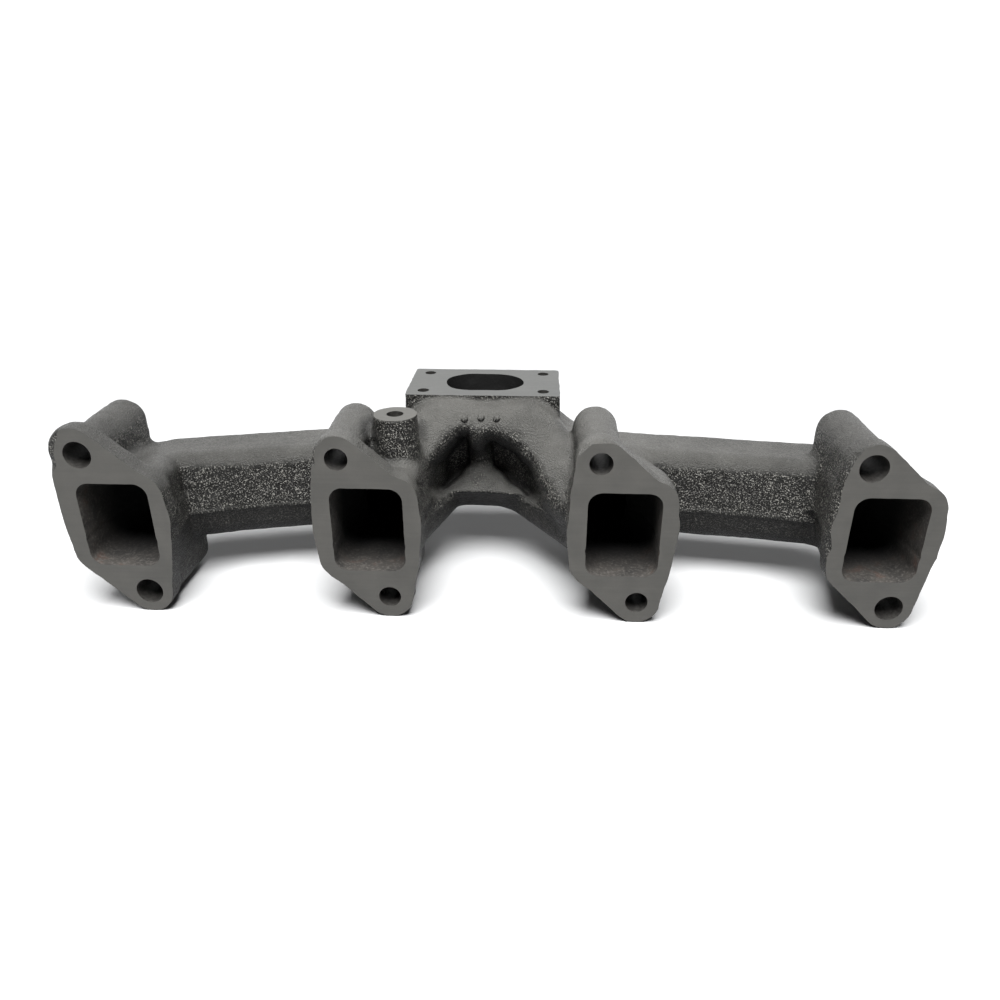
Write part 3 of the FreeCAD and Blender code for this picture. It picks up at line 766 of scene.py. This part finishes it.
def cast_skin():
    """Sand-cast skin: black on steep sides and lighter on top, partly oil and dust and partly painted side
    shade and painted top light, with painted glints for the grit and painted shade in hollows and
    underneath.
    """
    made, tree, shader, place = material("cast_skin", specular=0.24)
    patches = noise(tree, place, 60.0, 3.0)
    oil_and_side_shade = ramp(tree, patches, (0.3, (0.003, 0.0029, 0.0026)), (0.7, (0.0065, 0.0063, 0.0055)))
    dust_and_top_light = ramp(tree, patches, (0.3, (0.044, 0.0433, 0.0402)), (0.7, (0.067, 0.0658, 0.0611)))
    # The lighter top colour is darker towards the ends of the row.
    across = axes_of(tree, place)
    outward = tree.nodes.new("ShaderNodeMath")
    outward.operation = "ABSOLUTE"
    link(tree, across["X"], outward.inputs[0])
    middle = ramp(tree, outward.outputs["Value"], (0.03, 1.0), (0.15, 0.5))
    dust_and_top_light = mix(tree, 1.0, dust_and_top_light, middle, "MULTIPLY")
    # Painted top light and side shade, over real dust and oil: the steeper the face, the more it takes the
    # black colour.
    facing = axes_of(tree, tree.nodes.new("ShaderNodeNewGeometry").outputs["Normal"])
    steep = ramp(tree, facing["Z"], (0.05, 1.0), (0.42, 0.08))
    colour = mix(tree, steep, dust_and_top_light, oil_and_side_shade)
    # Painted glints: light specks standing in for the sparkle of light on the grit, on steep sides, in loose
    # clusters, and fewer below the parting line.
    grain = noise(tree, place, 1650.0, 2.0, 0.6)
    painted_glints = mix(tree, 1.0, ramp(tree, grain, (0.56, 0.0), (0.62, 1.0)), steep, "MULTIPLY")
    clusters = ramp(tree, noise(tree, place, 170.0, 2.0), (0.35, 0.6), (0.6, 1.0))
    painted_glints = mix(tree, 1.0, painted_glints, clusters, "MULTIPLY")
    above = spread(tree, across["Z"], (ROW[2] + PARTING - 1.0) * MM, (ROW[2] + PARTING + 1.0) * MM, 0.35)
    painted_glints = mix(tree, 1.0, painted_glints, above, "MULTIPLY")
    colour = mix(tree, painted_glints, colour, (0.21, 0.205, 0.186))
    # Painted shade: hollows and undersides are darkened towards black.
    hollow_shade = tree.nodes.new("ShaderNodeAttribute")
    hollow_shade.attribute_name = "hollow_shade"
    painted_shade = ramp(tree, hollow_shade.outputs["Fac"], (0.35, 1.0), (0.8, 0.35))
    painted_shade = mix(tree, 1.0, painted_shade, spread(tree, facing["Z"], -0.45, 0.0, 0.08), "MULTIPLY")
    link(tree, mix(tree, 1.0, colour, painted_shade, "MULTIPLY"), shader.inputs["Base Color"])
    link(tree, ramp(tree, grain, (0.35, 0.55), (0.65, 0.35)), shader.inputs["Roughness"])
    normal = bump(tree, noise(tree, place, 250.0, 4.0), 0.5, 0.0012)
    normal = bump(tree, grain, 0.8, 0.0012, normal)
    link(tree, normal, shader.inputs["Normal"])
    return made


def milled(name, low, high, rough=0.5):
    """A milled face: faint strokes along the row and blotches of oil."""
    made, tree, shader, place = material(name)
    blotch = noise(tree, place, 95.0, 5.0, 0.6)
    strokes = noise(tree, place, 1000.0, 3.0, 0.6, (0.03, 1.0, 1.0))
    colour = mix(tree, ramp(tree, blotch, (0.35, 0.0), (0.68, 1.0)), low, high)
    colour = mix(tree, 0.3, colour, ramp(tree, strokes, (0.3, low), (0.7, high)))
    link(tree, colour, shader.inputs["Base Color"])
    link(tree, ramp(tree, blotch, (0.3, rough - 0.06), (0.7, rough + 0.08)), shader.inputs["Roughness"])
    normal = bump(tree, strokes, 0.10, 0.0002)
    normal = bump(tree, noise(tree, place, 700.0, 3.0), 0.15, 0.0002, normal)
    link(tree, normal, shader.inputs["Normal"])
    return made


SOOT_AND_SHADE_DEPTH = 30.0


def passage_skin():
    """The inside of the ports: dusty and rusty at the mouth, and black further in, as soot and as painted
    shade.
    """
    made, tree, shader, place = material("passage_skin", specular=0.2)
    patches = noise(tree, place, 120.0, 4.0)
    grain = noise(tree, place, 900.0, 3.0, 0.6)
    colour = ramp(tree, patches, (0.35, (0.018, 0.017, 0.016)),
                  (0.6, (0.033, 0.030, 0.027)), (0.75, (0.048, 0.030, 0.024)))
    colour = mix(tree, ramp(tree, grain, (0.5, 0.0), (0.72, 0.7)), colour, (0.075, 0.07, 0.064))
    # Soot and painted shade: black deeper into the passage.
    depth = spread(tree, axes_of(tree, place)["Y"], ROW[1] * MM, (ROW[1] + SOOT_AND_SHADE_DEPTH) * MM)
    colour = mix(tree, ramp(tree, depth, (0.1, 0.0), (0.8, 1.0)), colour, (0.004, 0.004, 0.004))
    link(tree, colour, shader.inputs["Base Color"])
    shader.inputs["Roughness"].default_value = 0.8
    link(tree, bump(tree, grain, 0.5, 0.0004), shader.inputs["Normal"])
    return made


def drilled_wall():
    made, tree, shader, place = material("drilled_wall", metallic=0.3)
    rings = noise(tree, place, 700.0, 3.0, 0.6)
    colour = ramp(tree, rings, (0.3, (0.016, 0.015, 0.014)), (0.7, (0.045, 0.043, 0.040)))
    link(tree, colour, shader.inputs["Base Color"])
    shader.inputs["Roughness"].default_value = 0.45
    link(tree, bump(tree, rings, 0.3, 0.0003), shader.inputs["Normal"])
    return made


# ---------------------------------------------------------------- finished pieces
CAST, PASSAGE, DRILLED, FLANGE_FACE, TOP_FACE = range(5)
FINISHES = [cast_skin(), passage_skin(), drilled_wall(),
            milled("milled_flange", (0.032, 0.031, 0.0275), (0.050, 0.048, 0.043)),
            milled("milled_top", (0.030, 0.031, 0.0295), (0.050, 0.051, 0.0485))]


def mesh_arrays(mesh):
    points = np.empty(3 * len(mesh.vertices), np.float32)
    mesh.vertices.foreach_get("co", points)
    corners = np.empty(len(mesh.loops), np.int32)
    mesh.loops.foreach_get("vertex_index", corners)
    starts = np.empty(len(mesh.polygons), np.int32)
    mesh.polygons.foreach_get("loop_start", starts)
    normals = np.empty(3 * len(mesh.polygons), np.float32)
    mesh.polygons.foreach_get("normal", normals)
    return points.reshape(-1, 3).astype(float), corners, starts, normals.reshape(-1, 3).astype(float)


def on_drill(points):
    """Which points lie on the wall or the point of a drilled hole."""
    found = np.zeros(len(points), bool)
    for start, direction, radius, depth, tip in drills():
        direction = np.array(direction, float)
        offset = points - np.array(start)
        along = offset @ direction
        out = np.linalg.norm(offset - along[:, None] * direction, axis=1)
        found |= (out < radius + 0.02) & (out > radius * 0.98) & (along > -0.01) & (along < depth + 0.01)
        if tip:
            found |= (out < radius + 0.02) & (along > depth - 0.01) & (along < depth + tip + 0.01)
    return found


def hollowness(solid, points, outward):
    """0 on open skin, towards 1 where other walls stand close in front."""
    low = np.array([axis[0] for axis in AXES])
    high = np.array([axis[-1] for axis in AXES])
    closed = np.zeros(len(points))
    for reach in (3.0, 6.0, 10.0):
        out = points + outward * reach
        beyond = np.linalg.norm(out - np.clip(out, low, high), axis=1)
        closed += 1.0 - np.clip((field_at(solid, out) + beyond) / reach, 0.0, 1.0)
    return (closed / 3).astype(np.float32)


def finish_mesh(mesh, outside, core):
    """Give each face its finish, and the cast faces the field's smooth normals."""
    points, corners, starts, normals = mesh_arrays(mesh)
    sizes = np.diff(np.append(starts, len(corners)))
    owner = np.repeat(np.arange(len(starts)), sizes)

    def whole_face(flags):
        return np.bincount(owner, flags[corners], len(starts)) > sizes - 0.5

    centres = np.stack([np.bincount(owner, points[corners, k], len(starts)) / sizes
                        for k in range(3)], axis=1)
    head = whole_face(np.abs(points[:, 1]) < 0.01)
    top = whole_face(np.abs(points[:, 2] - TURBO_TOP) < 0.01) & (np.abs(normals[:, 2]) > 0.99)
    drilled = whole_face(on_drill(points)) & ~head & ~top
    inner = np.abs(field_at(core, centres)) < np.abs(field_at(outside, centres))
    kind = np.where(inner, PASSAGE, CAST)
    kind[drilled] = DRILLED
    kind[head] = FLANGE_FACE
    kind[top] = np.where(centres[top, 1] > TURBO_LOW[1] - 2, TOP_FACE, FLANGE_FACE)
    solid = np.maximum(outside, -core)
    outward = field_slope(solid, points)
    # How hollow each point is, kept for the cast skin's painted shade.
    hollow_shade = mesh.attributes.new("hollow_shade", "FLOAT", "POINT")
    hollow_shade.data.foreach_set("value", hollowness(solid, points, outward))
    slope = outward[corners]
    flat = normals[owner]
    skin = (np.einsum("ij,ij->i", slope, flat) > 0.55) & ((kind[owner] == CAST) | (kind[owner] == PASSAGE))
    mesh.polygons.foreach_set("use_smooth", np.ones(len(starts), bool))
    mesh.normals_split_custom_set(np.where(skin[:, None], slope, flat).tolist())
    mesh.materials.clear()
    used = sorted(set(kind.tolist()))
    for index in used:
        mesh.materials.append(FINISHES[index])
    mesh.polygons.foreach_set("material_index", np.searchsorted(used, kind).astype(np.int32))


def settle(mesh):
    """Row millimetres to the part's own metres."""
    points = mesh_arrays(mesh)[0]
    mesh.vertices.foreach_set("co", ((points + ROW) * MM).astype(np.float32).ravel())
    mesh.update()


def show(name, mesh, node):
    piece = new_object(name, mesh)
    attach(piece, "root")
    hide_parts(node)
    return piece


def pips(outside, rows=8, sides=28):
    """Three low domes sitting on the shoulder, instead of a foundry's mark."""
    points = []
    faces = []
    low, high = cad_box("casting_pips")
    middle = (low + high) / 2 - ROW
    for place in (-1, 0, 1):
        seat = np.array([middle[0] + place * PIP_PITCH, middle[1], middle[2]])
        for _ in range(12):
            seat = seat - field_slope(outside, seat[None])[0] * field_at(outside, seat[None])[0]
        out = Vector(field_slope(outside, seat[None])[0])
        across = out.orthogonal().normalized()
        over = out.cross(across)
        base = len(points)
        for row in range(rows):
            angle = math.radians(-35 + 125 * row / rows)
            for turn in range(sides):
                spin = 2 * math.pi * turn / sides
                ray = across * math.cos(spin) + over * math.sin(spin)
                reach = PIP_RADIUS * (ray * math.cos(angle) + out * PIP_RISE * math.sin(angle))
                points.append(tuple(Vector(seat) + reach))
        points.append(tuple(Vector(seat) + out * PIP_RADIUS * PIP_RISE))
        points.append(tuple(Vector(seat) - out * PIP_RADIUS * PIP_SUNK))
        top, bottom = base + rows * sides, base + rows * sides + 1
        for turn in range(sides):
            after = (turn + 1) % sides
            for ring in range(base, top - sides, sides):
                faces.append((ring + turn, ring + after, ring + sides + after, ring + sides + turn))
            faces.append((top - sides + turn, top - sides + after, top))
            faces.append((base + after, base + turn, bottom))
    mesh = mesh_of("cast_pips", points, faces)
    mesh.polygons.foreach_set("use_smooth", np.ones(len(faces), bool))
    mesh.materials.append(FINISHES[CAST])
    return mesh


# ---------------------------------------------------------------- the studio
WORLD_LIGHT = 0.04
# The paper glows away from the object, as if lamps of its own lit it: metres from the middle.
GLOW_START = 0.35
GLOW_FULL = 0.8
# The one lamp looks down at the object's middle: its place from there in metres, width, watts.
LAMP_PLACE = (-0.02, -0.44, 1.15)
LAMP_WIDTH = 0.8
LAMP_POWER = 58.0
# The camera was fitted to the four flanges: its place in metres, angles in radians.
EYE = (0.01476, -0.32287, 0.18561)
EYE_DOWN = 0.4412548
EYE_TURN = 0.0447752
LENS = 28.97
EXPOSURE = 0.15


def backdrop_mesh(half_wide=6.0, front=-4.0, back=2.6, bend=0.8, top=3.2):
    """A floor that curves up into a wall behind the object."""
    profile = [(front, 0.0), (back - bend, 0.0)]
    profile += [(back - bend + bend * math.sin(angle), bend - bend * math.cos(angle))
                for angle in np.linspace(0, math.pi / 2, 24)[1:]]
    profile.append((back, top))
    points = [(side * half_wide, y, z) for y, z in profile for side in (-1, 1)]
    faces = [(2 * k, 2 * k + 1, 2 * k + 3, 2 * k + 2) for k in range(len(profile) - 1)]
    return mesh_of("studio_backdrop", points, faces)


def backdrop():
    floor = new_object("studio_backdrop", backdrop_mesh())
    made, tree, shader, place = material("studio_paper", specular=0.2)
    shader.inputs["Base Color"].default_value = (0.38, 0.382, 0.385, 1.0)
    shader.inputs["Roughness"].default_value = 0.9
    shader.inputs["Emission Color"].default_value = (1.0, 1.0, 1.0, 1.0)
    away = tree.nodes.new("ShaderNodeVectorMath")
    away.operation = "LENGTH"
    link(tree, place, away.inputs[0])
    glow = spread(tree, away.outputs["Value"], GLOW_START, GLOW_FULL)
    link(tree, glow, shader.inputs["Emission Strength"])
    floor.data.materials.append(made)
    floor.data.polygons.foreach_set("use_smooth", np.ones(len(floor.data.polygons), bool))


def lights():
    world = bpy.data.worlds.new("studio")
    world.use_nodes = True
    background = world.node_tree.nodes["Background"]
    background.inputs["Color"].default_value = (1.0, 1.0, 1.0, 1.0)
    background.inputs["Strength"].default_value = WORLD_LIGHT
    bpy.context.scene.world = world
    light = bpy.data.lights.new("softbox", "AREA")
    light.size = LAMP_WIDTH
    light.energy = LAMP_POWER
    lamp = new_object("softbox", light)
    middle = (Vector(cad_bounds[0]) + Vector(cad_bounds[1])) / 2
    lamp.location = middle + Vector(LAMP_PLACE)
    lamp.rotation_euler = (middle - lamp.location).to_track_quat("-Z", "Y").to_euler()


def camera():
    lens = bpy.data.cameras.new("camera")
    lens.sensor_width = 36.0
    lens.lens = LENS
    lens.clip_start = 0.01
    eye = new_object("camera", lens)
    eye.location = EYE
    eye.rotation_euler = (math.pi / 2 - EYE_DOWN, 0.0, EYE_TURN)
    bpy.context.scene.camera = eye
    view = bpy.context.scene.view_settings
    view.view_transform = "Standard"
    view.exposure = EXPOSURE


def build():
    core = core_field()
    outside = outer_field(core)
    casting = new_object("casting", skin_mesh(np.maximum(outside, -core)))
    if signed_volume(casting.data) < 0:
        casting.data.flip_normals()
    machine(casting)
    for node, mesh in saw_up(casting).items():
        finish_mesh(mesh, outside, core)
        settle(mesh)
        show(f"{node}_cast", mesh, node)
    dots = pips(outside)
    settle(dots)
    show("casting_pips_cast", dots, "casting_pips")


camera()
backdrop()
lights()
build()
